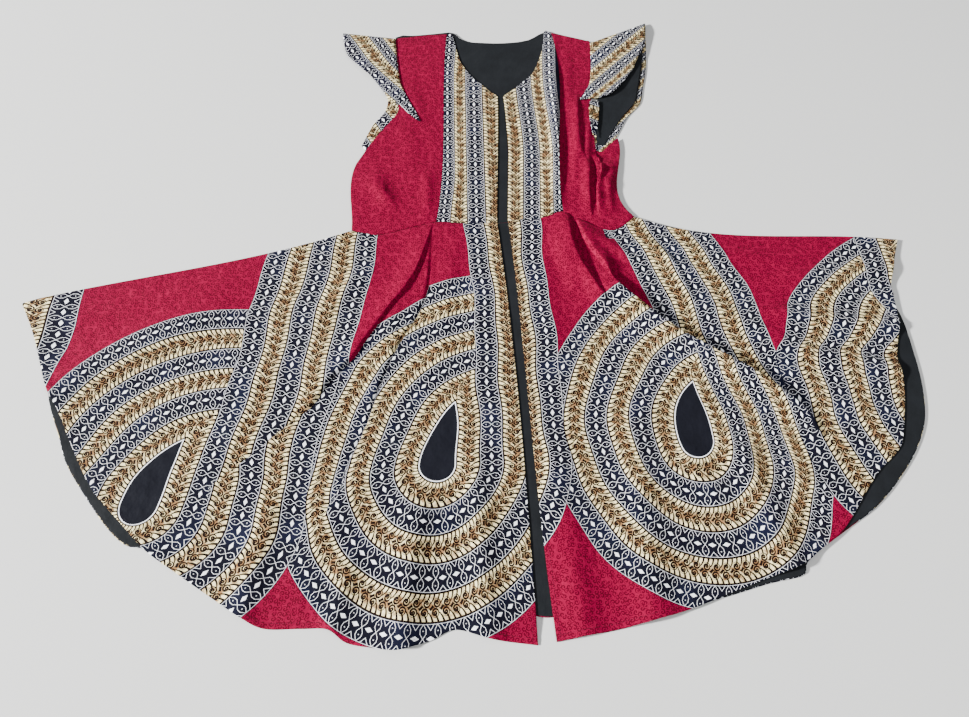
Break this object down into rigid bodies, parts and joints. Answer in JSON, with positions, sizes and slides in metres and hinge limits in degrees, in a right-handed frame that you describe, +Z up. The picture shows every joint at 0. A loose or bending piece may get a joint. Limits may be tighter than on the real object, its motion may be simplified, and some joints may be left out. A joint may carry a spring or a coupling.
{
  "type": "dress",
  "caption": "Front-opening wax print dress with a flared skirt and flutter cap sleeves, laid flat on its back with its front edges a little apart",
  "frame": {"origin": "the middle of the whole dress in plan, on the surface that it lies on", "axes": "+X from the left tip of the skirt to the right tip as seen from above, +Y from the hem to the neck, +Z up from the surface"},
  "size_m": [1.398, 1.1165, 0.0176],
  "materials": {
    "print": "cotton wax print in navy, cream and crimson bands",
    "red_print": "cotton wax print, crimson with small dark curls",
    "lining": "plain black lining"
  },
  "bodies": {
    "root": {"skirt_back": "print", "skirt_back_lining": "lining", "bodice_back": "print", "bodice_back_lining": "lining", "skirt_front_left": "print", "skirt_front_right": "print", "side_front_left": "red_print", "centre_front_left": "print", "centre_front_right": "print", "side_front_right": "red_print", "sleeve_left": "print", "sleeve_right": "print", "sleeve_right_lining": "lining", "sleeve_right_end": "print"}
  },
  "joints": []
}
